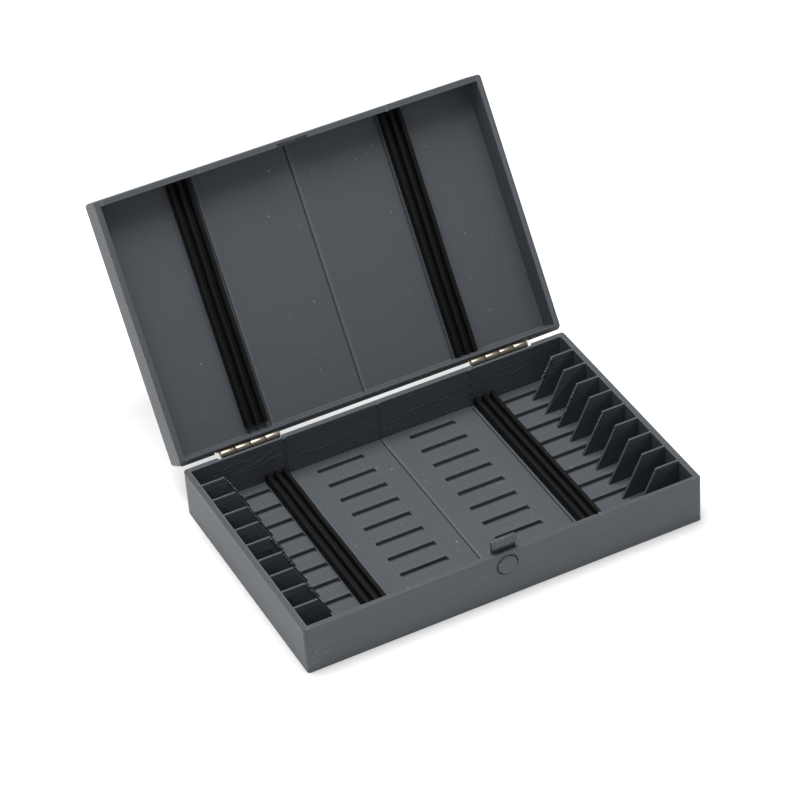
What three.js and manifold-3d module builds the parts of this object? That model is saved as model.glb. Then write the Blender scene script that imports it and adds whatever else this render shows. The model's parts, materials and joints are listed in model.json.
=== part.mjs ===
// Hinged storage case with divided ends: a printed base tray and lid, two butt hinges, a push latch
// and ribbed rubber pads. Millimetres, +Z up. The origin is the centre of the underside, X runs along
// the case and the front faces -Y. The lid is drawn shut and hangs in a group that turns it open.
import * as THREE from 'three';
import { mergeVertices } from 'three/addons/utils/BufferGeometryUtils.js';
import Module from 'manifold-3d';

const wasm = await Module();
wasm.setup();

// Case
const innerLength = 160; // between the end walls
const innerDepth = 100.6; // between the front and back walls
const wall = 2.3;
const cornerRadius = 1.3; // upright outer edges
const baseHeight = 20.6;
const baseFloor = 2.6;
const lidHeight = 13;
const lidPlate = 1.6;
const rimGap = 0.3; // between the rims when the case is shut
const rearChamfer = 1.65; // on the lid's outer rear rim edge
const openAngle = 124.4; // degrees, lid against its stop

// Cells at both ends
const cellCount = 10;
const frontCellExtra = 0.6; // the front cell is this much wider than the rest
const dividerThickness = 1;
const dividerFlat = 9.4; // full-height part, from the end wall
const dividerFoot = 18.8; // where the slope meets the floor, from the end wall

// Zones along the case, with locating grooves in the floor
const zoneCount = 4;
const grooveRows = 8; // counted from the back
const grooveStart = 9.5; // from a zone's left edge
const grooveLength = 19.7;
const grooveWidth = 2.5;
const grooveForward = 0.2; // from a cell's middle towards the front
const grooveDepth = 1.8;

// Ribbed rubber pads
const padWidth = 9;
const padHeight = 4;
const padRibs = 3;
const padRibWidth = 1.8;
const padWeb = 1.3; // thickness under the grooves between ribs
const padEndGap = 0.3;
const padLidSeat = 0.3; // adhesive between pad and lid
const rightPadOffset = 0.2; // right pads start this far past the last zone edge
const leftPadOffset = 1.5; // left pads end this far before the first zone edge
const lidLeftPadShort = 2; // the lid's left pad stops short of the rear wall

// Butt hinges
const hingeInset = 28.4; // hinge centre, from the end of the case
const hingeLength = 25;
const knuckleCount = 4;
const knuckleRadius = 1.5;
const knuckleGap = 0.15; // between neighbouring knuckles
const pinRadius = 0.65;
const pinClearance = 0.08;
const pinProud = 0.2;
const leafThickness = 0.8;
const leafHeight = 6.8;
const leafGap = 0.3; // adhesive behind the leaf, and air around it
const pocketOuterGap = 1.5; // air beside the leaf towards the end of the case
const knuckleClearance = 0.24; // knuckle to pocket
const screwSpacing = 14;
const screwRadius = 0.9;
const screwHeadRadius = 1.6;

// Push latch
const tongueWidth = 10;
const tongueThickness = 1.3;
const tongueClearance = 0.2; // to the front wall
const tongueFootGap = 0.4; // above the floor
const buttonRadius = 3.95;
const buttonGap = 0.45;
const buttonProud = 0.7;
const buttonEdge = 0.35;
const buttonBelowRim = 5.6;
const hookHeight = 5.2; // above the base rim
const hookNoseHeight = 0.6; // upright front of the nose
const hookClearance = 0.3; // nose to catch
const hookTopDepth = 1.3;
const catchSkin = 0.7; // wall left in front of the catch
const catchLedgeBottom = 1.4; // above the lid rim
const catchLedgeTop = 2.3;
const catchTop = 5.6;
const catchSideGap = 1.2;
const leadInDepth = 1.2;
const retainerWall = 1.7;
const retainerGap = 0.4;
const retainerHeight = 3.4;

// Derived sizes
const outerLength = innerLength + 2 * wall;
const outerDepth = innerDepth + 2 * wall;
const innerX = innerLength / 2;
const innerY = innerDepth / 2;
const outerX = outerLength / 2;
const outerY = outerDepth / 2;
const zonePitch = innerLength / zoneCount;
const cellPitch = (innerDepth - frontCellExtra) / cellCount;
const lidRim = baseHeight + rimGap;
const lidCeiling = lidRim + lidHeight - lidPlate;
const pocketDepth = leafThickness + leafGap;
const axisOut = knuckleRadius + knuckleClearance - pocketDepth;
const axisY = outerY + axisOut;
const axisZ = baseHeight + rimGap / 2;
const hingeX = outerX - hingeInset;
const leafStart = knuckleRadius + knuckleClearance; // the plate starts this far from the pin's axis
const leafEnd = leafStart + leafHeight;
const catchDepth = wall - catchSkin;
const catchHalf = tongueWidth / 2 + catchSideGap;

// Materials
const printed = new THREE.MeshStandardMaterial({ color: 0x5f6568, roughness: 0.55, metalness: 0 });
const rubber = new THREE.MeshStandardMaterial({ color: 0x1b1c1e, roughness: 0.6, metalness: 0 });
const plated = new THREE.MeshStandardMaterial({ color: 0xc8b48c, roughness: 0.3, metalness: 1 });

// Profile planes: a shape's (x, y) becomes (Y, Z) pushed along +X, or (X, Z) pushed along -Y.
const acrossX = new THREE.Matrix4().makeBasis(
  new THREE.Vector3(0, 1, 0),
  new THREE.Vector3(0, 0, 1),
  new THREE.Vector3(1, 0, 0),
);
const acrossY = new THREE.Matrix4().makeBasis(
  new THREE.Vector3(1, 0, 0),
  new THREE.Vector3(0, 0, 1),
  new THREE.Vector3(0, -1, 0),
);

function extrude(shape, depth, curveSegments = 8) {
  return new THREE.ExtrudeGeometry(shape, { depth, bevelEnabled: false, curveSegments });
}

function polygon(points) {
  return new THREE.Shape(points.map(([x, y]) => new THREE.Vector2(x, y)));
}

function box(x0, x1, y0, y1, z0, z1) {
  const geometry = new THREE.BoxGeometry(x1 - x0, y1 - y0, z1 - z0);
  return geometry.translate((x0 + x1) / 2, (y0 + y1) / 2, (z0 + z1) / 2);
}

// A rod along X between x0 and x1, centred on the X axis.
function rodAlongX(radius, x0, x1, sides = 24) {
  const geometry = new THREE.CylinderGeometry(radius, radius, x1 - x0, sides);
  return geometry.rotateZ(Math.PI / 2).translate((x0 + x1) / 2, 0, 0);
}

function solid(geometry) {
  const plain = geometry.clone();
  plain.deleteAttribute('normal');
  plain.deleteAttribute('uv');
  const merged = mergeVertices(plain, 1e-5);
  const vertProperties = new Float32Array(merged.attributes.position.array);
  const triVerts = new Uint32Array(merged.index.array);
  return new wasm.Manifold(new wasm.Mesh({ numProp: 3, vertProperties, triVerts }));
}

function toGeometry(manifold) {
  const mesh = manifold.getMesh();
  const geometry = new THREE.BufferGeometry();
  geometry.setAttribute('position', new THREE.BufferAttribute(mesh.vertProperties, 3));
  geometry.setIndex(new THREE.BufferAttribute(mesh.triVerts, 1));
  geometry.computeVertexNormals();
  return geometry;
}

function cut(body, tools) {
  return tools.reduce((rest, tool) => rest.subtract(solid(tool)), body);
}

function join(body, additions) {
  return additions.reduce((sum, addition) => sum.add(solid(addition)), body);
}

function addMesh(parent, name, geometry, material) {
  const mesh = new THREE.Mesh(geometry, material);
  mesh.name = name;
  parent.add(mesh);
}

// Rectangle in plan with rounded corners, centred on the origin.
function roundedPlan(halfX, halfY, radius) {
  const shape = new THREE.Shape();
  shape.moveTo(-halfX + radius, -halfY);
  shape.absarc(halfX - radius, -halfY + radius, radius, -Math.PI / 2, 0);
  shape.absarc(halfX - radius, halfY - radius, radius, 0, Math.PI / 2);
  shape.absarc(-halfX + radius, halfY - radius, radius, Math.PI / 2, Math.PI);
  shape.absarc(-halfX + radius, -halfY + radius, radius, Math.PI, Math.PI * 1.5);
  return shape;
}

function tub(z0, z1, hollow0, hollow1) {
  const outside = extrude(roundedPlan(outerX, outerY, cornerRadius), z1 - z0).translate(0, 0, z0);
  return cut(solid(outside), [box(-innerX, innerX, -innerY, innerY, hollow0, hollow1)]);
}

// Pocket for a hinge leaf in the outer back face, open at the rim. side is -1 left, 1 right.
function hingePocket(side, z0, z1) {
  const near = side * (hingeX - hingeLength / 2 - leafGap);
  const far = side * (hingeX + hingeLength / 2 + pocketOuterGap);
  const back = outerY + pocketDepth;
  return box(Math.min(near, far), Math.max(near, far), outerY - pocketDepth, back, z0, z1);
}

function locatingGrooves() {
  const grooves = [];
  const bottom = baseFloor - grooveDepth;
  for (let zone = 0; zone < zoneCount; zone += 1) {
    const x0 = -innerX + zone * zonePitch + grooveStart;
    for (let row = 0; row < grooveRows; row += 1) {
      const y0 = innerY - (row + 0.5) * cellPitch - grooveForward - grooveWidth / 2;
      grooves.push(box(x0, x0 + grooveLength, y0, y0 + grooveWidth, bottom, baseHeight));
    }
  }
  return grooves;
}

function baseTray() {
  const above = baseHeight + wall;
  const buttonHole = new THREE.CylinderGeometry(
    buttonRadius + buttonGap,
    buttonRadius + buttonGap,
    wall * 3,
    40,
  );
  buttonHole.translate(0, -innerY - wall / 2, baseHeight - buttonBelowRim);
  // The cylinder's own axis is Y, so it already points through the front wall.
  const cuts = [buttonHole, ...locatingGrooves()];
  for (const side of [-1, 1]) {
    cuts.push(hingePocket(side, axisZ - leafEnd - leafGap, above));
  }
  return toGeometry(cut(tub(0, baseHeight, baseFloor, above), cuts));
}

// One divider: full height near the end wall, then a straight slope down to the floor.
function divider(side, index) {
  const outline = polygon([
    [-innerX, baseFloor],
    [-innerX + dividerFoot, baseFloor],
    [-innerX + dividerFlat, baseHeight],
    [-innerX, baseHeight],
  ]);
  const back = innerY - index * cellPitch + dividerThickness;
  const plate = extrude(outline, dividerThickness).applyMatrix4(acrossY).translate(0, back, 0);
  return side < 0 ? plate : plate.rotateZ(Math.PI).translate(0, 2 * back - dividerThickness, 0);
}

function lidShell() {
  const below = lidRim - wall;
  const frontY = -innerY;
  const chamfer = polygon([
    [outerY - rearChamfer, lidRim],
    [outerY - rearChamfer - wall, lidRim - wall],
    [outerY + wall, lidRim - wall],
    [outerY + wall, lidRim + rearChamfer + wall],
  ]);
  const outside = frontY + wall;
  const pocketBottom = lidRim + catchLedgeTop;
  const cuts = [
    extrude(chamfer, outerLength + 2 * wall).applyMatrix4(acrossX).translate(-outerX - wall, 0, 0),
    box(-catchHalf, catchHalf, frontY - leadInDepth, outside, below, lidRim + catchLedgeBottom),
    box(-catchHalf, catchHalf, frontY - catchDepth, outside, pocketBottom, lidRim + catchTop),
  ];
  for (const side of [-1, 1]) {
    cuts.push(hingePocket(side, below, axisZ + leafEnd + leafGap));
  }
  return toGeometry(cut(tub(lidRim, lidRim + lidHeight, below, lidCeiling), cuts));
}

// Pad section: a web with round-topped ribs, standing on y = 0 and starting at x = 0.
function padSection() {
  const shape = new THREE.Shape();
  const pitch = (padWidth - padRibWidth) / (padRibs - 1);
  const radius = padRibWidth / 2;
  shape.moveTo(0, 0);
  shape.lineTo(padWidth, 0);
  for (let rib = padRibs - 1; rib >= 0; rib -= 1) {
    const centre = rib * pitch + radius;
    shape.lineTo(centre + radius, padHeight - radius);
    shape.absarc(centre, padHeight - radius, radius, 0, Math.PI);
    if (rib > 0) {
      shape.lineTo(centre - radius, padWeb);
      shape.lineTo(centre - pitch + radius, padWeb);
    }
  }
  return shape;
}

// Pad from y0 to y1 whose left edge is x0; it stands on z, or hangs from it when face is -1.
function pad(x0, y0, y1, z, face) {
  const strip = extrude(padSection(), y1 - y0, 6).applyMatrix4(acrossY);
  if (face < 0) {
    return strip.rotateY(Math.PI).translate(x0 + padWidth, y1, z);
  }
  return strip.translate(x0, y1, z);
}

function knuckleSpan(index) {
  const length = hingeLength / knuckleCount;
  const x0 = -hingeLength / 2 + index * length;
  return [x0 + knuckleGap / 2, x0 + length - knuckleGap / 2];
}

// Countersunk hole through a leaf, its wide end on the outer face (towards +Y).
function screwHole(x, z) {
  const sink = screwHeadRadius - screwRadius;
  const profile = [
    [0, -leafThickness * 2],
    [screwRadius, -leafThickness * 2],
    [screwRadius, -sink],
    [screwHeadRadius, 0],
    [screwHeadRadius, leafThickness],
    [0, leafThickness],
  ].map(([r, y]) => new THREE.Vector2(r, y));
  return new THREE.LatheGeometry(profile, 20).translate(x, -axisOut, z);
}

// Leaf around the pin's axis: up is 1 for the lid's leaf and -1 for the base's.
function hingeLeaf(up, firstKnuckle) {
  const outer = -axisOut;
  const inner = outer - leafThickness;
  const half = hingeLength / 2;
  const low = Math.min(up * leafStart, up * leafEnd);
  const high = Math.max(up * leafStart, up * leafEnd);
  const additions = [];
  for (let index = firstKnuckle; index < knuckleCount; index += 2) {
    const [x0, x1] = knuckleSpan(index);
    additions.push(rodAlongX(knuckleRadius, x0, x1));
    additions.push(box(x0, x1, inner, outer, Math.min(0, up * leafStart), Math.max(0, up * leafStart)));
  }
  const body = join(solid(box(-half, half, inner, outer, low, high)), additions);
  const screwZ = up * (leafStart + leafEnd) / 2;
  return toGeometry(cut(body, [
    rodAlongX(pinRadius + pinClearance, -hingeLength, hingeLength),
    screwHole(-screwSpacing / 2, screwZ),
    screwHole(screwSpacing / 2, screwZ),
  ]));
}

function latchTongue() {
  const front = -innerY + tongueClearance;
  const back = front + tongueThickness;
  const foot = baseFloor + tongueFootGap;
  const top = baseHeight + hookHeight;
  const nose = -innerY - (catchDepth - hookClearance);
  const under = lidRim + catchLedgeTop + tongueClearance;
  const side = polygon([
    [front, foot],
    [back, foot],
    [back, top - tongueClearance],
    [back - tongueClearance, top],
    [back - tongueClearance - hookTopDepth, top],
    [nose, under + hookNoseHeight],
    [nose, under],
    [front, under],
  ]);
  return extrude(side, tongueWidth).applyMatrix4(acrossX).translate(-tongueWidth / 2, 0, 0);
}

// Round button from the tongue to just proud of the front face, its outer edge rounded.
function latchButton() {
  const front = -outerY - buttonProud;
  const back = -innerY + tongueClearance;
  const profile = [
    new THREE.Vector2(0, back),
    new THREE.Vector2(buttonRadius, back),
    new THREE.Vector2(buttonRadius, front + buttonEdge),
    new THREE.Vector2(buttonRadius - buttonEdge * 0.3, front + buttonEdge * 0.3),
    new THREE.Vector2(buttonRadius - buttonEdge, front),
    new THREE.Vector2(0, front),
  ].reverse();
  return new THREE.LatheGeometry(profile, 40).translate(0, 0, baseHeight - buttonBelowRim);
}

// Bracket on the floor that holds the tongue's foot against the front wall.
function latchRetainer() {
  const half = tongueWidth / 2 + retainerGap;
  const outerHalf = half + retainerWall;
  const slotBack = -innerY + tongueClearance + tongueThickness + retainerGap;
  const back = slotBack + retainerWall;
  const top = baseFloor + retainerHeight;
  const block = solid(box(-outerHalf, outerHalf, -innerY, back, baseFloor, top));
  return toGeometry(cut(block, [box(-half, half, -outerY, slotBack, 0, top + wall)]));
}

function buildBase(parent) {
  addMesh(parent, 'base_tray', baseTray(), printed);
  for (let index = 1; index < cellCount; index += 1) {
    addMesh(parent, `divider_left_${index}`, divider(-1, index), printed);
    addMesh(parent, `divider_right_${index}`, divider(1, index), printed);
  }
  const y0 = -innerY + padEndGap;
  const y1 = innerY - padEndGap;
  const zoneEdge = innerX - zonePitch;
  const leftPadX = -zoneEdge - leftPadOffset - padWidth;
  addMesh(parent, 'base_pad_left', pad(leftPadX, y0, y1, baseFloor, 1), rubber);
  addMesh(parent, 'base_pad_right', pad(zoneEdge + rightPadOffset, y0, y1, baseFloor, 1), rubber);
}

function buildLid(lid) {
  const y0 = -innerY + padEndGap;
  const y1 = innerY - padEndGap;
  const zoneEdge = innerX - zonePitch;
  const seat = lidCeiling - padLidSeat;
  const leftPadX = -zoneEdge - leftPadOffset - padWidth;
  const pieces = [
    ['lid_shell', lidShell(), printed],
    ['lid_pad_left', pad(leftPadX, y0, y1 - lidLeftPadShort, seat, -1), rubber],
    ['lid_pad_right', pad(zoneEdge + rightPadOffset, y0, y1, seat, -1), rubber],
  ];
  for (const [name, geometry, material] of pieces) {
    addMesh(lid, name, geometry.translate(0, -axisY, -axisZ), material);
  }
}

function buildHinge(parent, lid, side, word) {
  const x = side * hingeX;
  addMesh(parent, `hinge_${word}_base_leaf`, hingeLeaf(-1, 0).translate(x, axisY, axisZ), plated);
  addMesh(lid, `hinge_${word}_lid_leaf`, hingeLeaf(1, 1).translate(x, 0, 0), plated);
  const reach = hingeLength / 2 + pinProud;
  const pin = rodAlongX(pinRadius, -reach, reach).translate(x, axisY, axisZ);
  addMesh(parent, `hinge_${word}_pin`, pin, plated);
}

function buildLatch(parent) {
  addMesh(parent, 'latch_tongue', latchTongue(), printed);
  addMesh(parent, 'latch_button', latchButton(), printed);
  addMesh(parent, 'latch_retainer', latchRetainer(), printed);
}

const group = new THREE.Group();
const lidGroup = new THREE.Group();
lidGroup.position.set(0, axisY, axisZ);
lidGroup.rotation.x = -THREE.MathUtils.degToRad(openAngle);
group.add(lidGroup);

buildBase(group);
buildLid(lidGroup);
buildHinge(group, lidGroup, -1, 'left');
buildHinge(group, lidGroup, 1, 'right');
buildLatch(group);

export default group;
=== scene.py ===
"""Looks of a printed storage case with a hinged lid, divided ends, ribbed pads and a push latch.

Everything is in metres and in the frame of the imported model. Sizes that the model already has are
read from it; the property groups below hold the few that belong to the finish only.
"""

import json
import math

import bmesh
import bpy
import numpy as np
from mathutils import Matrix, Vector


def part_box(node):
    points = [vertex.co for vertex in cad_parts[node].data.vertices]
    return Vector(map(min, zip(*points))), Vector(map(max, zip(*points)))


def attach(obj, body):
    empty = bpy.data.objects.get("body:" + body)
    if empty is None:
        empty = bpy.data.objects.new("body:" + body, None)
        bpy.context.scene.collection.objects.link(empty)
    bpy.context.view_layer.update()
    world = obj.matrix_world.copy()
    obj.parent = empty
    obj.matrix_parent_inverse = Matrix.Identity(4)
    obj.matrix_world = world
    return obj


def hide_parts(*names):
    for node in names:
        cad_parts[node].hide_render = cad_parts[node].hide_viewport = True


bl_info = {
    "name": "Printed Storage Case",
    "version": (1, 0, 0),
    "blender": (4, 5, 0),
    "location": "View3D > Sidebar > Case",
    "description": "Builds the finished pieces of a hinged printed case around its packed model",
    "category": "Add Mesh",
}

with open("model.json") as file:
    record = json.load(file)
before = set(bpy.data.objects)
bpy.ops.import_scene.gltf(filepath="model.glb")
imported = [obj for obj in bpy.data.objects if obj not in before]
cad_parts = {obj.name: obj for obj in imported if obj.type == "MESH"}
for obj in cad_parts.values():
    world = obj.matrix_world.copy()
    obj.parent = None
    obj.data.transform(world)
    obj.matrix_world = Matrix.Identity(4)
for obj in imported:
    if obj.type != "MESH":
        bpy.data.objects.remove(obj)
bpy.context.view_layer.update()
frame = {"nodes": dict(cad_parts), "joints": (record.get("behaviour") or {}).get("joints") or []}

MM = 0.001

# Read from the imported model: the tray's outer and inner half sizes, its floor and its rim.
_, TRAY_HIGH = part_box("base_tray")
DIVIDER_LOW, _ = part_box("divider_left_1")
OUTER_X, OUTER_Y, RIM = TRAY_HIGH
INNER_X = -DIVIDER_LOW.x
WALL = OUTER_X - INNER_X
INNER_Y = OUTER_Y - WALL
FLOOR = DIVIDER_LOW.z

# The model comes with its lid open: OPENED takes shut coordinates there, and CLOSED brings them back.
LID_HINGE = next(joint for joint in frame["joints"] if joint["name"] == "lid_hinge")
HINGE_POINT = Vector(LID_HINGE["pos_m"])
OPEN_ANGLE = math.radians(LID_HINGE["range_deg"][1])
LID_TURN = Matrix.Rotation(-OPEN_ANGLE, 4, "X")
OPENED = Matrix.Translation(HINGE_POINT) @ LID_TURN @ Matrix.Translation(-HINGE_POINT)
CLOSED = OPENED.inverted()


def shut_box(node):
    """Lowest and highest corners of a lid node as it lies when the case is shut."""
    points = node_points(node) @ np.array(CLOSED.to_3x3()).T + np.array(CLOSED.translation)
    return points.min(0), points.max(0)


def node_points(node):
    mesh = frame["nodes"][node].data
    points = np.empty(len(mesh.vertices) * 3)
    mesh.vertices.foreach_get("co", points)
    return points.reshape(-1, 3)


LID_RIM = shut_box("lid_shell")[0][2]
TAPE = 0.3 * MM  # adhesive between a pad and what it is stuck to
LID_CEILING = shut_box("lid_pad_right")[1][2] + TAPE

# The case was printed in four zones; the joints of the floor lie a little left of the zone edges.
ZONE_EDGES = [INNER_X * share for share in (-0.5, 0.0, 0.5)]
JOINT_SHIFT = 1 * MM
CELLS = 10
GROOVE_PITCH = 2 * INNER_Y / CELLS
GROOVE_HALF = (9.85 * MM, 1.25 * MM, 0)
GROOVE_MIDDLE = (19.35 * MM, GROOVE_PITCH / 2 - 0.2 * MM, 0)

# Marks in the finish: a scuff, and the paler strip to the right of each joint, a painted highlight.
SCUFFED_CORNER = (-OUTER_X + 5 * MM, -OUTER_Y, 6 * MM)
LIT_STRIP_HALF = 0.6 * MM
LIT_STRIP_MIDDLE = 0.85 * MM


# ---------------------------------------------------------------- properties


class CaseSizes(bpy.types.PropertyGroup):
    edge: bpy.props.FloatProperty(
        name="Edge rounding",
        description="Radius that the nozzle leaves on printed edges",
        default=0.18 * MM,
        unit="LENGTH",
    )
    joint_width: bpy.props.FloatProperty(
        name="Zone joint width",
        description="Width of the hairline joints between the zones of the floor",
        default=0.5 * MM,
        unit="LENGTH",
    )
    lid_joint_width: bpy.props.FloatProperty(
        name="Lid joint width",
        description="Width of the hairline joints between the zones of the lid",
        default=0.8 * MM,
        unit="LENGTH",
    )
    joint_depth: bpy.props.FloatProperty(
        name="Zone joint depth",
        description="Depth of the hairline joints between the zones",
        default=0.8 * MM,
        unit="LENGTH",
    )
    road_width: bpy.props.FloatProperty(
        name="Road width",
        description="Width of one printed line as drawn on flat faces",
        default=1.15 * MM,
        unit="LENGTH",
    )
    layer_height: bpy.props.FloatProperty(
        name="Layer height",
        description="Height of one printed layer as drawn on walls",
        default=1.0 * MM,
        unit="LENGTH",
    )


class CaseColours(bpy.types.PropertyGroup):
    plastic: bpy.props.StringProperty(
        name="Plastic", description="Dark grey filament, sRGB hex", default="51565B"
    )
    rubber: bpy.props.StringProperty(
        name="Rubber", description="Black pad rubber, sRGB hex", default="0C0C0D"
    )
    plating: bpy.props.StringProperty(
        name="Plating", description="Hinge plating, sRGB hex", default="BDB5A8"
    )
    dust: bpy.props.StringProperty(
        name="Dust", description="Specks and scuffs on the filament, sRGB hex", default="9A9C9C"
    )
    rubber_dust: bpy.props.StringProperty(
        name="Dust on rubber", description="Specks on the pads, sRGB hex", default="3A3A3C"
    )
    tarnish: bpy.props.StringProperty(
        name="Tarnish", description="Dull patches of the plating, sRGB hex", default="756D5E"
    )
    floor: bpy.props.StringProperty(
        name="Floor", description="Studio floor, sRGB hex", default="F2F2F2"
    )


def sizes():
    return bpy.context.scene.case_sizes


def colours():
    return bpy.context.scene.case_colours


# ---------------------------------------------------------------- mesh helpers


def new_object(name, points, faces):
    mesh = bpy.data.meshes.new(name)
    mesh.from_pydata(np.asarray(points).tolist(), [], faces)
    mesh.validate()
    thing = bpy.data.objects.new(name, mesh)
    bpy.context.scene.collection.objects.link(thing)
    return thing


def tube_faces(rings, count):
    """Quads round a tube of points stored ring by ring, and one face to close each end."""
    ring, place = np.meshgrid(np.arange(rings - 1), np.arange(count), indexing="ij")
    next_place = (place + 1) % count
    corners = (
        ring * count + place,
        (ring + 1) * count + place,
        (ring + 1) * count + next_place,
        ring * count + next_place,
    )
    sides = np.stack([corner.ravel() for corner in corners], 1).tolist()
    last = (rings - 1) * count
    return sides + [list(range(count)), [last + i for i in reversed(range(count))]]


def tidy_normals(thing, angle=30.0):
    """Points the faces outwards, and shades smooth across edges flatter than the angle."""
    work = bmesh.new()
    work.from_mesh(thing.data)
    bmesh.ops.remove_doubles(work, verts=work.verts, dist=1e-7)
    bmesh.ops.recalc_face_normals(work, faces=work.faces)
    work.to_mesh(thing.data)
    work.free()
    thing.data.shade_smooth()
    thing.data.set_sharp_from_angle(angle=math.radians(angle))


def bake_modifiers(thing):
    bpy.context.view_layer.update()
    graph = bpy.context.evaluated_depsgraph_get()
    finished = bpy.data.meshes.new_from_object(thing.evaluated_get(graph))
    old = thing.data
    thing.modifiers.clear()
    thing.data = finished
    bpy.data.meshes.remove(old)


def softened_copy(node, name, blades=(), edge=None):
    """Copy of a CAD node with every sharp edge rounded, and hairlines then cut by thin blades.

    Coplanar triangles are joined first, so that the rounding meets clean edges. Large faces are
    shaded flat afterwards, because smooth shading across them would bend the light.
    """
    weld = 0.002 * MM
    coplanar = math.radians(0.6)
    sharp = math.radians(35)
    large = 25 * MM * MM
    mesh = frame["nodes"][node].data.copy()
    mesh.name = name
    work = bmesh.new()
    work.from_mesh(mesh)
    bmesh.ops.remove_doubles(work, verts=work.verts, dist=weld)
    bmesh.ops.dissolve_limit(work, angle_limit=coplanar, verts=work.verts, edges=work.edges)
    work.to_mesh(mesh)
    work.free()
    thing = bpy.data.objects.new(name, mesh)
    bpy.context.scene.collection.objects.link(thing)
    soften = thing.modifiers.new("edges", "BEVEL")
    soften.width = edge or sizes().edge
    soften.segments = 2
    soften.limit_method = "ANGLE"
    soften.angle_limit = sharp
    soften.use_clamp_overlap = False
    bake_modifiers(thing)
    for blade in blades:
        cut = thing.modifiers.new("hairline", "BOOLEAN")
        cut.operation = "DIFFERENCE"
        cut.solver = "MANIFOLD"
        cut.object = blade
    if blades:
        bake_modifiers(thing)
    for blade in blades:
        bpy.data.objects.remove(blade)
    tidy_normals(thing, 40)
    polygons = thing.data.polygons
    area = np.empty(len(polygons))
    polygons.foreach_get("area", area)
    polygons.foreach_set("use_smooth", area < large)
    return thing


def place_on(thing, body, material, replaced=()):
    thing.data.materials.clear()
    thing.data.materials.append(material)
    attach(thing, body)
    if replaced:
        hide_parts(*replaced)


def blade(x, outline, width):
    """Thin prism across X: outline is a list of (y, z) corners, and x is its middle."""
    half = width / 2
    count = len(outline)
    points = [(x + side * half, y, z) for side in (-1, 1) for y, z in outline]
    sides = [(i, (i + 1) % count, count + (i + 1) % count, count + i) for i in range(count)]
    ends = [tuple(reversed(range(count))), tuple(range(count, 2 * count))]
    thing = new_object("blade", points, sides + ends)
    tidy_normals(thing)
    return thing


# ---------------------------------------------------------------- materials


def linear(code):
    """sRGB hex text to linear red, green, blue and alpha."""
    values = [int(code[start:start + 2], 16) / 255 for start in (0, 2, 4)]
    return [v / 12.92 if v <= 0.04045 else ((v + 0.055) / 1.055) ** 2.4 for v in values] + [1.0]


def add_node(tree, kind, settings=None, inputs=None):
    """Adds a node, sets its properties, and links or sets each input named or numbered in inputs."""
    node = tree.nodes.new(kind)
    for name, value in (settings or {}).items():
        setattr(node, name, value)
    for name, value in (inputs or {}).items():
        if isinstance(value, bpy.types.Node):
            value = value.outputs[0]
        if isinstance(value, bpy.types.NodeSocket):
            tree.links.new(value, node.inputs[name])
        else:
            node.inputs[name].default_value = value
    return node


def new_material(name):
    material = bpy.data.materials.new(name)
    material.use_nodes = True
    material.node_tree.nodes.clear()
    return material, material.node_tree


def border_distances(tree, spot):
    """Distances on the floor plane from a point to its groove and in from the inner walls.

    Grooves repeat in a 40 by 10 mm tile: the point is wrapped into one tile and taken from its
    middle, and the larger of its overhangs past the groove's half sizes is the distance. The wall
    distance is the smaller of the half sizes less the point's own size along X and Y.
    """
    tile = Vector((ZONE_EDGES[1] - ZONE_EDGES[0], GROOVE_PITCH, 1.0))
    wrapped = add_node(
        tree, "ShaderNodeVectorMath", {"operation": "WRAP"}, {0: spot, 1: tile, 2: (0, 0, -1.0)}
    )
    from_middle = add_node(
        tree, "ShaderNodeVectorMath", {"operation": "SUBTRACT"}, {0: wrapped, 1: GROOVE_MIDDLE}
    )
    size = add_node(tree, "ShaderNodeVectorMath", {"operation": "ABSOLUTE"}, {0: from_middle})
    past = add_node(tree, "ShaderNodeVectorMath", {"operation": "SUBTRACT"}, {0: size, 1: GROOVE_HALF})
    past_x, past_y, _ = add_node(tree, "ShaderNodeSeparateXYZ", None, {0: past}).outputs
    to_groove = add_node(tree, "ShaderNodeMath", {"operation": "MAXIMUM"}, {0: past_x, 1: past_y})

    spread = add_node(tree, "ShaderNodeVectorMath", {"operation": "ABSOLUTE"}, {0: spot})
    inset = add_node(
        tree, "ShaderNodeVectorMath", {"operation": "SUBTRACT"}, {0: (INNER_X, INNER_Y, 0), 1: spread}
    )
    inset_x, inset_y, _ = add_node(tree, "ShaderNodeSeparateXYZ", None, {0: inset}).outputs
    to_wall = add_node(tree, "ShaderNodeMath", {"operation": "MINIMUM"}, {0: inset_x, 1: inset_y})
    return to_groove, to_wall


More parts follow.
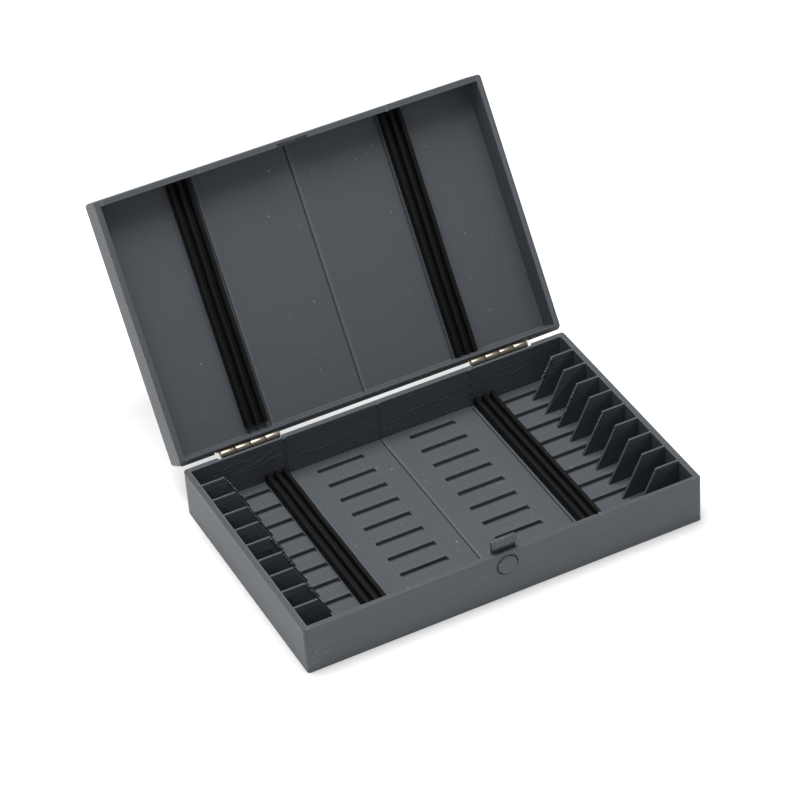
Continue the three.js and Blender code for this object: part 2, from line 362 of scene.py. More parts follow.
def printed_plastic(name, turn=0.0, inner_face=1.0):
    """PLA laid down in roads by a nozzle: satin, with layers round the walls and roads on flats.

    Flats show roads at 45 degrees, which turn to follow their edges and each groove, and paler strips
    where zones meet, a painted highlight for the lit side of each joint.
    The real roads are 0.4 mm wide and the layers 0.2 mm high, too fine to show, so they are drawn at
    the coarser sizes of the property group. The turn brings the lid's pattern to its shut place.
    """
    material, tree = new_material(name)
    nearly_level = 0.8  # height of the normal above which a face counts as flat
    layer_run = 50 * MM  # length over which a layer keeps its shade
    ring_reach = 1.7 * MM  # how far from a wall or a groove the roads follow it
    hatch_height = 0.5 if inner_face > 0 else 0.15  # the lid's roads are flatter
    # how much the painted highlight beside each joint lightens the colour
    highlight_lift = 0.24
    place = add_node(tree, "ShaderNodeTexCoord")
    shift = HINGE_POINT - Matrix.Rotation(turn, 3, "X") @ HINGE_POINT
    spot = add_node(
        tree, "ShaderNodeMapping", {"vector_type": "POINT"},
        {"Vector": place.outputs["Object"], "Location": shift, "Rotation": (turn, 0, 0)},
    )
    facing = add_node(
        tree, "ShaderNodeMapping", {"vector_type": "VECTOR"},
        {"Vector": place.outputs["Normal"], "Rotation": (turn, 0, 0)},
    )
    rise = add_node(tree, "ShaderNodeSeparateXYZ", None, {0: facing}).outputs["Z"]
    level = add_node(tree, "ShaderNodeMath", {"operation": "ABSOLUTE"}, {0: rise})
    flat = add_node(tree, "ShaderNodeMath", {"operation": "GREATER_THAN"}, {0: level, 1: nearly_level})
    inwards = add_node(tree, "ShaderNodeMath", {"operation": "MULTIPLY"}, {0: rise, 1: inner_face})
    inner_flat = add_node(
        tree, "ShaderNodeMath", {"operation": "GREATER_THAN"}, {0: inwards, 1: nearly_level}
    )
    to_groove, to_wall = border_distances(tree, spot)

    stretched = add_node(
        tree, "ShaderNodeMapping", None,
        {"Vector": spot, "Scale": (1 / layer_run, 1 / layer_run, 1 / sizes().layer_height)},
    )
    layers = add_node(
        tree, "ShaderNodeTexNoise", None,
        {"Vector": stretched, "Scale": 0.85, "Detail": 3.0, "Roughness": 0.75},
    )
    layers = add_node(
        tree, "ShaderNodeMapRange", None, {"Value": layers, "From Min": 0.36, "From Max": 0.64}
    )
    across = 2 * math.pi / sizes().road_width
    diagonal = across * math.sqrt(0.5)
    slant = add_node(
        tree, "ShaderNodeVectorMath", {"operation": "DOT_PRODUCT"},
        {0: spot, 1: (diagonal, -diagonal, 0)},
    ).outputs["Value"]
    hatch = add_node(tree, "ShaderNodeMath", {"operation": "SINE"}, {0: slant})
    on_rim = add_node(tree, "ShaderNodeMath", {"operation": "LESS_THAN"}, {0: to_wall, 1: 0.0})
    away = add_node(tree, "ShaderNodeMath", {"operation": "ABSOLUTE"}, {0: to_wall})
    margin = away
    near = on_rim
    if inner_face > 0:
        margin = add_node(tree, "ShaderNodeMath", {"operation": "MINIMUM"}, {0: away, 1: to_groove})
        near = add_node(tree, "ShaderNodeMath", {"operation": "LESS_THAN"}, {0: margin, 1: ring_reach})
        near = add_node(tree, "ShaderNodeMath", {"operation": "MAXIMUM"}, {0: near, 1: on_rim})
    turns = add_node(tree, "ShaderNodeMath", {"operation": "MULTIPLY"}, {0: margin, 1: across})
    rings = add_node(tree, "ShaderNodeMath", {"operation": "SINE"}, {0: turns})
    ringed = add_node(tree, "ShaderNodeMath", {"operation": "MULTIPLY"}, {0: near, 1: inner_flat})
    roads = add_node(tree, "ShaderNodeMix", {"data_type": "FLOAT"}, {0: ringed, 2: hatch, 3: rings})
    fleck = add_node(
        tree, "ShaderNodeTexNoise", None,
        {"Vector": spot, "Scale": 1 / (1.3 * MM), "Detail": 3.0, "Roughness": 0.7},
    )
    road_height = add_node(
        tree, "ShaderNodeMath", {"operation": "MULTIPLY_ADD"},
        {0: roads, 1: hatch_height, 2: fleck},
    )
    height = add_node(
        tree, "ShaderNodeMix", {"data_type": "FLOAT"}, {0: flat, 2: layers, 3: road_height}
    )

    cloud = add_node(
        tree, "ShaderNodeTexNoise", None,
        {"Vector": spot, "Scale": 1 / (18 * MM), "Detail": 4.0, "Roughness": 0.6},
    )
    zone = ZONE_EDGES[1] - ZONE_EDGES[0]
    x = add_node(tree, "ShaderNodeSeparateXYZ", None, {0: spot}).outputs["X"]
    from_joint = add_node(
        tree, "ShaderNodeMath", {"operation": "WRAP"}, {0: x, 1: zone / 2, 2: -zone / 2}
    )
    # Painted highlight: a paler strip beside each zone joint stands in for the joint's lit side.
    lit_strip_middle = LIT_STRIP_MIDDLE - JOINT_SHIFT if inner_face > 0 else LIT_STRIP_MIDDLE
    painted_light_strip = add_node(
        tree, "ShaderNodeMath", {"operation": "COMPARE"}, {0: from_joint, 1: lit_strip_middle, 2: LIT_STRIP_HALF}
    )
    painted_light_strip = add_node(tree, "ShaderNodeMath", {"operation": "MULTIPLY"}, {0: painted_light_strip, 1: inner_flat})
    speckle = add_node(
        tree, "ShaderNodeTexNoise", None,
        {"Vector": spot, "Scale": 1 / (2.2 * MM), "Detail": 1.0},
    )
    dust = add_node(
        tree, "ShaderNodeMapRange", None,
        {"Value": speckle, "From Min": 0.765, "From Max": 0.80, "To Max": 0.5},
    )
    shade = add_node(
        tree, "ShaderNodeMath", {"operation": "MULTIPLY_ADD"}, {0: height, 1: 0.17, 2: 0.86}
    )
    shade = add_node(
        tree, "ShaderNodeMath", {"operation": "MULTIPLY_ADD"}, {0: cloud, 1: 0.08, 2: shade}
    )
    shade = add_node(
        tree, "ShaderNodeMath", {"operation": "MULTIPLY_ADD"}, {0: painted_light_strip, 1: highlight_lift, 2: shade}
    )
    tone = add_node(
        tree, "ShaderNodeVectorMath", {"operation": "SCALE"},
        {0: linear(colours().plastic)[:3], "Scale": shade},
    )
    corner = add_node(
        tree, "ShaderNodeVectorMath", {"operation": "DISTANCE"}, {0: spot, 1: SCUFFED_CORNER}
    ).outputs["Value"]
    close = add_node(
        tree, "ShaderNodeMapRange", None,
        {"Value": corner, "From Min": 8 * MM, "From Max": 3 * MM, "To Max": 0.30},
    )
    scratches = add_node(
        tree, "ShaderNodeTexNoise", None,
        {"Vector": spot, "Scale": 1 / (0.9 * MM), "Detail": 4.0, "Roughness": 0.8},
    )
    scuff = add_node(
        tree, "ShaderNodeMapRange", None,
        {"Value": scratches, "From Min": 0.52, "From Max": 0.66, "To Max": 1.0},
    )
    scuff = add_node(tree, "ShaderNodeMath", {"operation": "MULTIPLY"}, {0: scuff, 1: close})
    marks = add_node(tree, "ShaderNodeMath", {"operation": "MAXIMUM"}, {0: dust, 1: scuff})
    dusty = add_node(
        tree, "ShaderNodeMix", {"data_type": "RGBA"},
        {0: marks, 6: tone, 7: linear(colours().dust)},
    )
    rough = add_node(
        tree, "ShaderNodeMath", {"operation": "MULTIPLY_ADD"}, {0: height, 1: 0.10, 2: 0.42}
    )
    bump = add_node(
        tree, "ShaderNodeBump", None,
        {"Strength": 0.8, "Distance": 0.09 * MM, "Height": height},
    )
    surface = add_node(
        tree, "ShaderNodeBsdfPrincipled", None,
        {
            "Base Color": dusty.outputs[2],
            "Roughness": rough,
            "IOR": 1.46,
            "Specular IOR Level": 0.4,
            "Normal": bump,
        },
    )
    add_node(tree, "ShaderNodeOutputMaterial", None, {"Surface": surface})
    return material


def pad_rubber():
    """EPDM extruded through a die: deep black, dull, with faint drag lines and dust along its length."""
    material, tree = new_material("Extruded EPDM rubber")
    place = add_node(tree, "ShaderNodeTexCoord")
    drag = add_node(
        tree, "ShaderNodeMapping", None,
        {"Vector": place.outputs["Object"], "Scale": (1 / (0.5 * MM), 1 / (20 * MM), 1 / (20 * MM))},
    )
    lines = add_node(
        tree, "ShaderNodeTexNoise", None,
        {"Vector": drag, "Scale": 1.0, "Detail": 3.0},
    )
    dust = add_node(
        tree, "ShaderNodeTexNoise", None,
        {"Vector": place.outputs["Object"], "Scale": 1 / (1.2 * MM), "Detail": 2.0},
    )
    speck = add_node(
        tree, "ShaderNodeMapRange", None,
        {"Value": dust, "From Min": 0.68, "From Max": 0.76, "To Max": 0.5},
    )
    tone = add_node(
        tree, "ShaderNodeMix", {"data_type": "RGBA"},
        {0: speck, 6: linear(colours().rubber), 7: linear(colours().rubber_dust)},
    )
    rough = add_node(
        tree, "ShaderNodeMath", {"operation": "MULTIPLY_ADD"}, {0: lines, 1: 0.2, 2: 0.5}
    )
    bump = add_node(
        tree, "ShaderNodeBump", None,
        {"Strength": 0.3, "Distance": 0.05 * MM, "Height": lines},
    )
    surface = add_node(
        tree, "ShaderNodeBsdfPrincipled", None,
        {
            "Base Color": tone.outputs[2],
            "Roughness": rough,
            "Specular IOR Level": 0.22,
            "Normal": bump,
        },
    )
    add_node(tree, "ShaderNodeOutputMaterial", None, {"Surface": surface})
    return material


def hinge_plating():
    """Rolled steel strip, nickel plated: warm and bright, with fine rolling lines and dull patches."""
    material, tree = new_material("Nickel plated steel")
    place = add_node(tree, "ShaderNodeTexCoord")
    rolling = add_node(
        tree, "ShaderNodeMapping", None,
        {
            "Vector": place.outputs["Object"],
            "Scale": (1 / (30 * MM), 1 / (0.25 * MM), 1 / (0.25 * MM)),
        },
    )
    lines = add_node(
        tree, "ShaderNodeTexNoise", None,
        {"Vector": rolling, "Scale": 1.0, "Detail": 3.0},
    )
    tarnish = add_node(
        tree, "ShaderNodeTexNoise", None,
        {"Vector": place.outputs["Object"], "Scale": 1 / (6 * MM), "Detail": 2.0},
    )
    tone = add_node(
        tree, "ShaderNodeMix", {"data_type": "RGBA"},
        {0: tarnish, 6: linear(colours().plating), 7: linear(colours().tarnish)},
    )
    rough = add_node(
        tree, "ShaderNodeMath", {"operation": "MULTIPLY_ADD"}, {0: lines, 1: 0.10, 2: 0.28}
    )
    bump = add_node(
        tree, "ShaderNodeBump", None,
        {"Strength": 0.05, "Distance": 0.01 * MM, "Height": lines},
    )
    surface = add_node(
        tree, "ShaderNodeBsdfPrincipled", None,
        {"Base Color": tone.outputs[2], "Metallic": 1.0, "Roughness": rough, "Normal": bump},
    )
    add_node(tree, "ShaderNodeOutputMaterial", None, {"Surface": surface})
    return material


def material(name, maker, *values):
    """The material of that name, made on first use."""
    return bpy.data.materials.get(name) or maker(*values)


def base_plastic():
    return material("PLA printed upright", printed_plastic, "PLA printed upright")


def lid_plastic():
    return material("PLA printed lid", printed_plastic, "PLA printed lid", OPEN_ANGLE, -1.0)


# ---------------------------------------------------------------- pieces


class CASE_OT_tray(bpy.types.Operator):
    """Adds the base tray with rounded edges and hairline zone joints"""

    bl_idname = "case.tray"
    bl_label = "Base tray"

    def execute(self, context):
        # The joints run through the floor and up the front wall; beads hide them on the back wall.
        depth = sizes().joint_depth
        above = RIM + WALL
        outline = [
            (-INNER_Y - depth, FLOOR - depth),
            (INNER_Y - depth, FLOOR - depth),
            (INNER_Y - depth, FLOOR + 2 * depth),
            (-INNER_Y + 2 * depth, FLOOR + 2 * depth),
            (-INNER_Y + 2 * depth, above),
            (-INNER_Y - depth, above),
        ]
        blades = [blade(x - JOINT_SHIFT, outline, sizes().joint_width) for x in ZONE_EDGES]
        tray = softened_copy("base_tray", "tray", blades)
        place_on(tray, "base", base_plastic(), ["base_tray"])
        return {"FINISHED"}


def carried_round(path, radius, sides=8):
    """Round section carried along a path: each ring stands square to it, with closed ends.

    A ring point at angle a is path + radius * (cos a * first + sin a * second), the two directions
    being square to the path and to each other. The radius may differ from ring to ring.
    """
    path = np.asarray(path)
    forward = np.gradient(path, axis=0)
    forward /= np.linalg.norm(forward, axis=1)[:, None]
    aslant = (0.31, 0.93, 0.17)  # along no path that is used here
    first = np.cross(forward, aslant)
    first /= np.linalg.norm(first, axis=1)[:, None]
    second = np.cross(forward, first)
    angle = np.linspace(0, 2 * math.pi, sides, endpoint=False)
    radius = np.broadcast_to(radius, len(path))[:, None, None]
    cos, sin = np.cos(angle)[None, :, None], np.sin(angle)[None, :, None]
    ring = cos * first[:, None] + sin * second[:, None]
    points = path[:, None] + radius * ring
    return points.reshape(-1, 3), tube_faces(len(path), sides)


def merged(parts):
    """One list of points and one of faces from several."""
    points, faces, count = [], [], 0
    for part_points, part_faces in parts:
        points.append(part_points)
        faces += [[corner + count for corner in face] for face in part_faces]
        count += len(part_points)
    return np.concatenate(points), faces


def swelling(count, seed, base, spread):
    """Radii that wander round a base value and draw in at both ends."""
    rng = np.random.default_rng(seed)
    wander = np.convolve(rng.normal(0, 1, count + 4), [0.2, 0.3, 0.3, 0.2], "same")[2:-2]
    ends = np.sin(np.linspace(0.12, math.pi - 0.12, count)) ** 0.15
    return np.clip(base + spread * wander, 0.4 * base, None) * ends


def ball(centre, width, height):
    """Ellipsoid of those half sizes: its rings have radius sin a and stand at height -cos a."""
    rings = 6
    angle = np.linspace(0.25, math.pi - 0.25, rings)
    path = np.stack([np.zeros(rings), np.zeros(rings), -height * np.cos(angle)], 1)
    points, faces = carried_round(path, width * np.sin(angle), 8)
    return points + np.array(centre), faces


class CASE_OT_seams(bpy.types.Operator):
    """Adds the rough beads, blobs and fine strings that the nozzle leaves on the base"""

    bl_idname = "case.seams"
    bl_label = "Seams and strings"

    def execute(self, context):
        parts = []
        rows = 46
        blob_height = RIM - 0.35 * MM
        for seed, edge in enumerate(ZONE_EDGES):
            rng = np.random.default_rng(40 + seed)
            for step, radius in ((0.0, 0.42 * MM), (0.75 * MM, 0.3 * MM)):
                x = edge - JOINT_SHIFT + step + rng.normal(0, 0.09 * MM, rows)
                y = np.full(rows, INNER_Y)
                z = np.linspace(FLOOR, RIM - 0.1 * MM, rows)
                path = np.stack([x, y, z], 1)
                width = swelling(rows, 50 + seed, radius, 0.12 * MM)
                parts.append(carried_round(path, width))
            parts.append(ball((edge - JOINT_SHIFT, INNER_Y, blob_height), 0.75 * MM, 0.55 * MM))
        parts.append(ball((ZONE_EDGES[2], -INNER_Y, blob_height), 0.6 * MM, 0.5 * MM))
        thing = new_object("wall_seams", *merged(parts))
        tidy_normals(thing, 60)
        place_on(thing, "base", base_plastic())

        rng = np.random.default_rng(7)
        strings = []
        # Where each string starts and ends along X, and how far it sags, in millimetres.
        for start, end, sag in (
            (-71, -47, 3.0), (-68, -52, -2.0), (-63, -43.5, 1.2), (-58, -50, 4.5), (-75, -60, 1.0),
            (-36, -22, 1.4), (12, 30, -1.0), (50, 66, 1.6),
        ):
            along = np.linspace(0, 1, 30)
            x = (start + (end - start) * along) * MM
            high = rng.uniform(9, 17) * MM
            z = high - sag * MM * np.sin(math.pi * along) + rng.uniform(-3, 3) * MM * along
            y = INNER_Y - 0.04 * MM + 0.06 * MM * np.sin(9 * along + start)
            strings.append(carried_round(np.stack([x, y, z], 1), 0.10 * MM, 5))
        thing = new_object("wall_strings", *merged(strings))
        tidy_normals(thing, 60)
        place_on(thing, "base", base_plastic())
        return {"FINISHED"}


DIVIDER_FLAT = 9.4 * MM  # length of a divider's level top
DIVIDER_EDGE = 0.26 * MM
# Dividers whose slope came out ragged, and how much of it.
RAGGED = {
    ("right", 1): 1.0, ("right", 3): 0.9, ("right", 5): 0.5,
    ("left", 1): 1.0, ("left", 3): 0.8, ("left", 5): 1.0, ("left", 6): 0.5, ("left", 8): 0.6,
}


def rounded_plate(outline, smooth, y0, y1, edge):
    """Closed plate between y0 and y1 whose outline is drawn in by a quarter circle of that edge radius.

    A row at angle t of the quarter circle stands edge * (1 - cos t) in from the face and is drawn in
    by edge * (1 - sin t); the drawing in goes along the inward normals of the smooth outline.
    """
    forward = np.roll(smooth, -1, 0) - np.roll(smooth, 1, 0)
    normal = np.stack([-forward[:, 1], forward[:, 0]], 1)
    normal /= np.linalg.norm(normal, axis=1)[:, None]
    turn = np.linspace(0, math.pi / 2, 4)
    depth = edge * (1 - np.cos(turn))
    inset = edge * (1 - np.sin(turn))
    rows_y = np.concatenate([y0 + depth, (y1 - depth)[::-1]])
    rows_inset = np.concatenate([inset, inset[::-1]])
    rings = outline[None] + normal[None] * rows_inset[:, None, None]
    count = len(outline)
    points = np.empty((len(rows_y), count, 3))
    points[:, :, 0] = rings[:, :, 0]
    points[:, :, 1] = rows_y[:, None]
    points[:, :, 2] = rings[:, :, 1]
    return points.reshape(-1, 3), tube_faces(len(rows_y), count)


class CASE_OT_dividers(bpy.types.Operator):
    """Adds the thin plates that divide the two ends into cells"""

    bl_idname = "case.dividers"
    bl_label = "End dividers"

    def execute(self, context):
        beads = []
        for side, sign in (("left", 1), ("right", -1)):
            index = 1
            while f"divider_{side}_{index}" in frame["nodes"]:
                node = f"divider_{side}_{index}"
                low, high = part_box(node)
                ragged = (side, index) in RAGGED
                if ragged:
                    beads.append(self.knobs(low, high, sign, RAGGED[side, index], index))
                outline, smooth = self.outline(low, high, ragged, index * 7 + sign)
                points, faces = rounded_plate(outline, smooth, low.y, high.y, DIVIDER_EDGE)
                points[:, 0] = sign * (points[:, 0] - INNER_X)
                thing = new_object(f"end_{node}", points, faces)
                tidy_normals(thing, 50)
                place_on(thing, "base", base_plastic(), [node])
                index += 1
        for index, seed in ((1, 3), (5, 4)):
            beads += self.curls(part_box(f"divider_left_{index}")[0], seed)
        thing = new_object("divider_beads", *merged(beads))
        tidy_normals(thing, 60)
        place_on(thing, "base", base_plastic())
        return {"FINISHED"}

    def knobs(self, low, high, sign, share, seed):
        """Small balls half sunk in the upper part of a divider's slope, along its front edge."""
        count = int(8 + 16 * share)
        rng = np.random.default_rng(90 + seed * 3 + sign)
        along = np.sort(rng.uniform(0.02, 0.25 + 0.5 * share, count))
        foot = high.x - low.x
        reach = DIVIDER_FLAT + (foot - DIVIDER_FLAT) * along
        x = sign * (reach + rng.uniform(-0.25, 0.1, count) * MM - INNER_X)
        y = low.y + rng.uniform(-0.12, 0.3, count) * MM
        z = high.z + (low.z - high.z) * along - 0.1 * MM
        radius = rng.uniform(0.28, 0.34 + 0.2 * share, count) * MM
        centres = np.stack([x, y, z], 1)
        return merged([ball(centre, size, size) for centre, size in zip(centres, radius)])

    def curls(self, low, seed):
        """Loose threads on a divider's front face: arcs whose radius and middle wander."""
        rng = np.random.default_rng(seed)
        threads = []
        for _ in range(5):
            turn = np.linspace(0, rng.uniform(2.0, 4.5), 26) + rng.uniform(0, 6)
            radius = rng.uniform(1.2, 2.6) * MM * (1 + 0.15 * np.sin(3 * turn))
            x = low.x + rng.uniform(6, 12) * MM + radius * np.cos(turn)
            y = low.y - 0.12 * MM - 0.25 * MM * (1 + np.sin(2 * turn))
            z = rng.uniform(12, 16) * MM + radius * np.sin(turn)
            threads.append(carried_round(np.stack([x, y, z], 1), 0.09 * MM, 5))
        return threads

    def outline(self, low, high, ragged, seed):
        """Foot, slope, level top and wall side as (distance from the end wall, height) points.

        The plate is sunk a little into the floor and the wall. The slope wanders more and more towards
        its upper end. The second list is the same outline without the wandering.
        """
        sunk = 0.35 * MM
        foot = high.x - low.x
        corners = np.array([
            [-sunk, low.z - sunk],
            [foot, low.z - sunk],
            [DIVIDER_FLAT, high.z],
            [-sunk, high.z],
        ])
        counts = (12, 70, 24, 12)
        rng = np.random.default_rng(seed)
        runs = []
        for corner, following, count in zip(corners, np.roll(corners, -1, 0), counts):
            share = np.linspace(0, 1, count, endpoint=False)[:, None]
            runs.append(corner + (following - corner) * share)
        smooth = np.concatenate(runs)
        wander = np.convolve(rng.normal(0, 1, counts[1]), [0.25, 0.5, 0.25], "same")
        fade = np.clip(np.linspace(-0.5, 1.4, counts[1]), 0, 1)
        size = 0.12 * MM if ragged else 0.03 * MM
        runs[1][:, 0] += np.clip(wander * fade * size, -0.3 * MM, 0.45 * MM)
        runs[1][-3:, 0] += 0.15 * MM
        return np.concatenate(runs), smooth


class CASE_OT_lid(bpy.types.Operator):
    """Adds the lid with rounded edges and hairline zone joints"""

    bl_idname = "case.lid"
    bl_label = "Lid"

    def execute(self, context):
        depth = sizes().joint_depth
        outline = [
            (-INNER_Y - depth / 2, LID_CEILING - 2 * depth),
            (INNER_Y + depth / 2, LID_CEILING - 2 * depth),
            (INNER_Y + depth / 2, LID_CEILING + depth),
            (-INNER_Y - depth / 2, LID_CEILING + depth),
        ]
        middles = (ZONE_EDGES[0], ZONE_EDGES[1] - 0.2 * MM, ZONE_EDGES[2] - JOINT_SHIFT)
        blades = [blade(x, outline, sizes().lid_joint_width) for x in middles]
        for thing in blades:
            thing.data.transform(OPENED)
        lid = softened_copy("lid_shell", "lid", blades)
        place_on(lid, "lid", lid_plastic(), ["lid_shell"])

        size = (0.5 * MM, 0.4 * MM)
        above_rim = LID_RIM + 0.3 * MM
        aside = 0.7 * MM
        blobs = [ball((x + aside, INNER_Y, above_rim), *size) for x in ZONE_EDGES]
        blobs.append(ball((ZONE_EDGES[2] + aside, -INNER_Y, above_rim), *size))
        thing = new_object("lid_blobs", *merged(blobs))
        thing.data.transform(OPENED)
        tidy_normals(thing, 60)
        place_on(thing, "lid", lid_plastic())
        return {"FINISHED"}


def pad_profile(width, height):
    """Three ribs on a web, as (x, z) points: their tops are half circles, rounded at the foot."""
    ribs = 3
    rib = 1.9 * MM
    pitch = (width - rib) / (ribs - 1)
    web = 1.2 * MM
    turn = np.linspace(0, math.pi, 13)
    runs = [np.array([[0, 0], [width, 0]])]
    for index in reversed(range(ribs)):
        centre = index * pitch + rib / 2
        across = centre + rib / 2 * np.cos(turn)
        runs.append(np.stack([across, height - rib / 2 + rib / 2 * np.sin(turn)], 1))
        if index:
            half_groove = (pitch - rib) / 2
            bottom = centre - pitch / 2
            inner = turn[1:-1]
            across = bottom + half_groove * np.cos(inner)
            runs.append(np.stack([across, web + half_groove * (1 - np.sin(inner))], 1))
    return np.concatenate(runs)


def pad_points(low, high, seed, hanging=False):
    """Pad profile carried along Y, its ribs leaning a little from side to side.

    The lean is a sum of three sine waves of different length, and grows with height above the foot.
    """
    profile = pad_profile(high[0] - low[0], high[2] - low[2])
    rows = 81
    along = np.linspace(low[1], high[1], rows)
    rng = np.random.default_rng(seed)
    phase = rng.uniform(0, 2 * math.pi, 3)
    lean = sum(
        size * MM * np.sin(2 * math.pi * along / (length * MM) + turn)
        for size, length, turn in zip((0.10, 0.06, 0.03), (83, 37, 11), phase)  # millimetres
    )
    rise = profile[:, 1] / profile[:, 1].max()
    points = np.empty((rows, len(profile), 3))
    points[:, :, 0] = low[0] + profile[None, :, 0] + lean[:, None] * rise[None]
    points[:, :, 1] = along[:, None]
    points[:, :, 2] = high[2] - profile[None, :, 1] if hanging else low[2] + profile[None, :, 1]
    return points.reshape(-1, 3), tube_faces(rows, len(profile))


class CASE_OT_pads(bpy.types.Operator):
    """Adds the ribbed rubber pads of the base and the lid"""

    bl_idname = "case.pads"
    bl_label = "Ribbed pads"

    def execute(self, context):
        rubber = material("Extruded EPDM rubber", pad_rubber)
        for seed, side in enumerate(("left", "right")):
            low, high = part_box(f"base_pad_{side}")
            thing = new_object(f"ribbed_base_pad_{side}", *pad_points(low, high, seed))
            tidy_normals(thing, 50)
            place_on(thing, "base", rubber, [f"base_pad_{side}"])
            low, high = shut_box(f"lid_pad_{side}")
            thing = new_object(f"ribbed_lid_pad_{side}", *pad_points(low, high, seed + 5, True))
            thing.data.transform(OPENED)
            tidy_normals(thing, 50)
            place_on(thing, "lid", rubber, [f"lid_pad_{side}"])
        return {"FINISHED"}


class CASE_OT_hinges(bpy.types.Operator):
    """Adds the leaves and pins of the butt hinges"""

    bl_idname = "case.hinges"
    bl_label = "Butt hinges"

    def execute(self, context):
        plating = material("Nickel plated steel", hinge_plating)
        for side in ("left", "right"):
            for part, body in (("base_leaf", "base"), ("lid_leaf", "lid"), ("pin", "base")):
                node = f"hinge_{side}_{part}"
                thing = softened_copy(node, f"plated_{node}", edge=0.28 * MM)
                place_on(thing, body, plating, [node])
        return {"FINISHED"}


class CASE_OT_latch(bpy.types.Operator):
    """Adds the latch tongue, its button and the bracket at its foot"""

    bl_idname = "case.latch"
    bl_label = "Push latch"

    def execute(self, context):
        for node, body in (("latch_tongue", "latch"), ("latch_retainer", "base")):
            thing = softened_copy(node, f"soft_{node}", edge=0.25 * MM)
            place_on(thing, body, base_plastic(), [node])
        thing = new_object("turned_latch_button", *self.button(*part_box("latch_button")))
        tidy_normals(thing, 50)
        place_on(thing, "latch", base_plastic(), ["latch_button"])
        return {"FINISHED"}

    def button(self, low, high):
        """Profile of (radius, depth) pairs turned round the button's axis, which lies along Y.

        The face is domed a little, its edge is a quarter circle, and a shoulder behind it fills part
        of the gap to the hole in the wall, with room left for the tilt of the pressed latch.
        """
        radius = (high.x - low.x) / 2
        shoulder = radius + 0.18 * MM
        neck = radius - 0.3 * MM
        edge = 0.55 * MM
        dome = 0.02 * MM
        turn = np.linspace(0, math.pi / 2, 6)
        face = [(dome, 0), (radius * 0.6, dome / 2)]
        rounded = list(zip(radius - edge + edge * np.sin(turn), dome + edge * (1 - np.cos(turn))))
        back = [(radius, 0.9 * MM), (shoulder, 1.0 * MM), (shoulder, 2.1 * MM)]
        back += [(neck, 2.2 * MM), (neck, high.y - low.y)]
        profile = np.array(face + rounded + back)
        angle = np.linspace(0, 2 * math.pi, 64, endpoint=False)
        centre = (low + high) / 2
        points = np.empty((len(profile), len(angle), 3))
        points[:, :, 0] = centre.x + profile[:, :1] * np.cos(angle)
        points[:, :, 1] = low.y + profile[:, 1:]
        points[:, :, 2] = centre.z + profile[:, :1] * np.sin(angle)
        return points.reshape(-1, 3), tube_faces(len(profile), len(angle))


# ---------------------------------------------------------------- stage


def view_frame(azimuth, elevation, roll):
    """Columns right, up and back of a camera that looks down at the part from that direction."""
    back = Vector((
        math.sin(azimuth) * math.cos(elevation),
        -math.cos(azimuth) * math.cos(elevation),
        math.sin(elevation),
    ))
    right = Vector((math.cos(azimuth), math.sin(azimuth), 0))
    up = back.cross(right)
    turned_right = math.cos(roll) * right + math.sin(roll) * up
    turned_up = math.cos(roll) * up - math.sin(roll) * right
    return Matrix((turned_right, turned_up, back)).transposed()


def softbox(name, place, aim, size, power):
    light = bpy.data.lights.new(name, "AREA")
    light.shape = "RECTANGLE"
    light.size, light.size_y = size
    light.energy = power
    thing = bpy.data.objects.new(name, light)
    thing.location = place
    direction = Vector(aim) - Vector(place)
    thing.rotation_euler = direction.to_track_quat("-Z", "Y").to_euler()
    bpy.context.scene.collection.objects.link(thing)


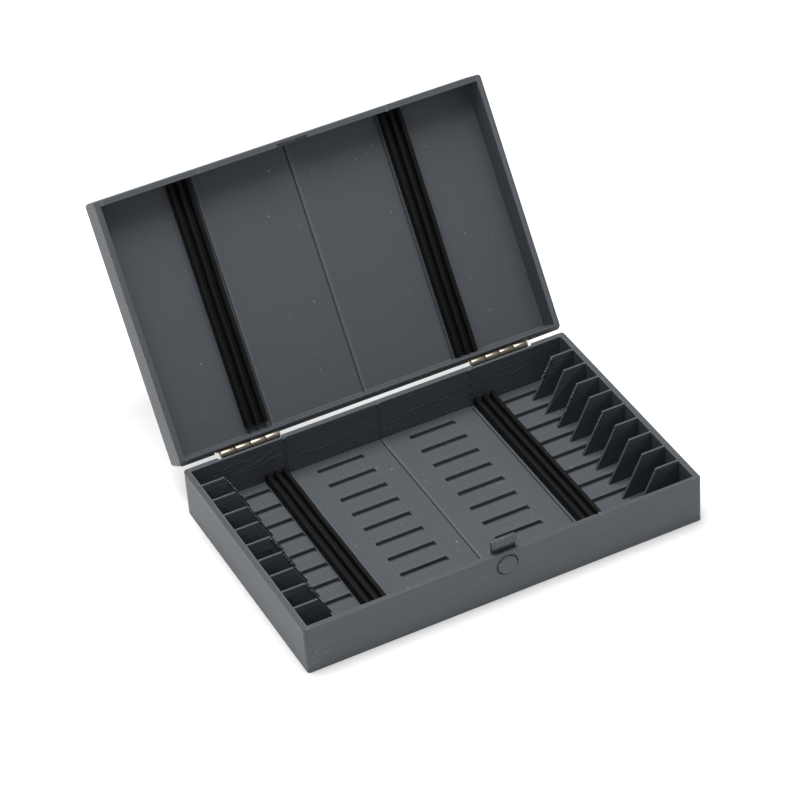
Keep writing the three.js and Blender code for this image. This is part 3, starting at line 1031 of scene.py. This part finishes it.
class CASE_OT_stage(bpy.types.Operator):
    """Adds the pale floor, which glows with painted light behind the base, the soft lights and the
    camera
    """

    bl_idname = "case.stage"
    bl_label = "Studio"

    def execute(self, context):
        scene = context.scene
        scene.view_settings.view_transform = "Standard"
        half = 6.0  # metres
        floor = new_object(
            "studio_floor",
            [(-half, -half, 0), (half, -half, 0), (half, half, 0), (-half, half, 0)],
            [(0, 1, 2, 3)],
        )
        glowing_paper, tree = new_material("White paper with painted glow")
        # Painted light: the paper glows most in a strip behind the base, which shows between the base
        # and the lid, so the lid's shadow there is lit away.
        spot = add_node(tree, "ShaderNodeTexCoord").outputs["Object"]
        painted_light_strip = add_node(
            tree, "ShaderNodeMapping", {"vector_type": "TEXTURE"},
            {0: spot, "Location": (10 * MM, 78 * MM, 0), "Scale": (260 * MM, 45 * MM, 1)},
        )
        glow = add_node(tree, "ShaderNodeTexGradient", {"gradient_type": "SPHERICAL"}, {0: painted_light_strip})
        strength = add_node(
            tree, "ShaderNodeMath", {"operation": "MULTIPLY_ADD"},
            {0: glow.outputs["Fac"], 1: 0.5, 2: 0.18},
        )
        surface = add_node(
            tree, "ShaderNodeBsdfPrincipled", None,
            {
                "Base Color": linear(colours().floor),
                "Roughness": 0.9,
                "Specular IOR Level": 0.0,
                "Emission Color": (1.0, 1.0, 1.0, 1.0),
                "Emission Strength": strength,
            },
        )
        add_node(tree, "ShaderNodeOutputMaterial", None, {"Surface": surface})
        floor.data.materials.append(glowing_paper)

        world = bpy.data.worlds.new("Studio air")
        world.use_nodes = True
        background = world.node_tree.nodes["Background"]
        background.inputs["Color"].default_value = (1.0, 0.99, 0.99, 1.0)
        background.inputs["Strength"].default_value = 0.3
        scene.world = world
        softbox("overhead", (-0.08, 0.12, 1.5), (0, 0, 0), (1.0, 1.0), 24.5)
        softbox("left", (-1.2, 0.9, 0.35), (0, 0, 0.03), (0.9, 0.7), 1.0)

        azimuth, elevation, roll = -24.36, 38.26, -4.47
        distance = 1.3275
        aim = Vector((18.32 * MM, 71.40 * MM, 0))
        camera_data = bpy.data.cameras.new("view")
        camera_data.sensor_width = 36.0
        camera_data.lens = 151.0
        camera = bpy.data.objects.new("view", camera_data)
        turn = view_frame(math.radians(azimuth), math.radians(elevation), math.radians(roll))
        camera.matrix_world = Matrix.Translation(aim + turn.col[2] * distance) @ turn.to_4x4()
        scene.collection.objects.link(camera)
        scene.camera = camera
        return {"FINISHED"}


class CASE_PT_panel(bpy.types.Panel):
    """Lists the pieces of the case"""

    bl_idname = "CASE_PT_panel"
    bl_label = "Storage case"
    bl_space_type = "VIEW_3D"
    bl_region_type = "UI"
    bl_category = "Case"

    def draw(self, context):
        for name in CaseSizes.__annotations__:
            self.layout.prop(context.scene.case_sizes, name)
        for name in CaseColours.__annotations__:
            self.layout.prop(context.scene.case_colours, name)
        for operator in OPERATORS:
            self.layout.operator(operator.bl_idname)


OPERATORS = (
    CASE_OT_stage,
    CASE_OT_tray,
    CASE_OT_seams,
    CASE_OT_dividers,
    CASE_OT_lid,
    CASE_OT_pads,
    CASE_OT_hinges,
    CASE_OT_latch,
)
CLASSES = (CaseSizes, CaseColours, *OPERATORS, CASE_PT_panel)


def register():
    for item in CLASSES:
        bpy.utils.register_class(item)
    bpy.types.Scene.case_sizes = bpy.props.PointerProperty(type=CaseSizes)
    bpy.types.Scene.case_colours = bpy.props.PointerProperty(type=CaseColours)


def unregister():
    del bpy.types.Scene.case_colours
    del bpy.types.Scene.case_sizes
    for item in reversed(CLASSES):
        bpy.utils.unregister_class(item)


def main():
    register()
    bpy.ops.case.stage()
    bpy.ops.case.tray()
    bpy.ops.case.seams()
    bpy.ops.case.dividers()
    bpy.ops.case.lid()
    bpy.ops.case.pads()
    bpy.ops.case.hinges()
    bpy.ops.case.latch()


if __name__ == "__main__":
    main()
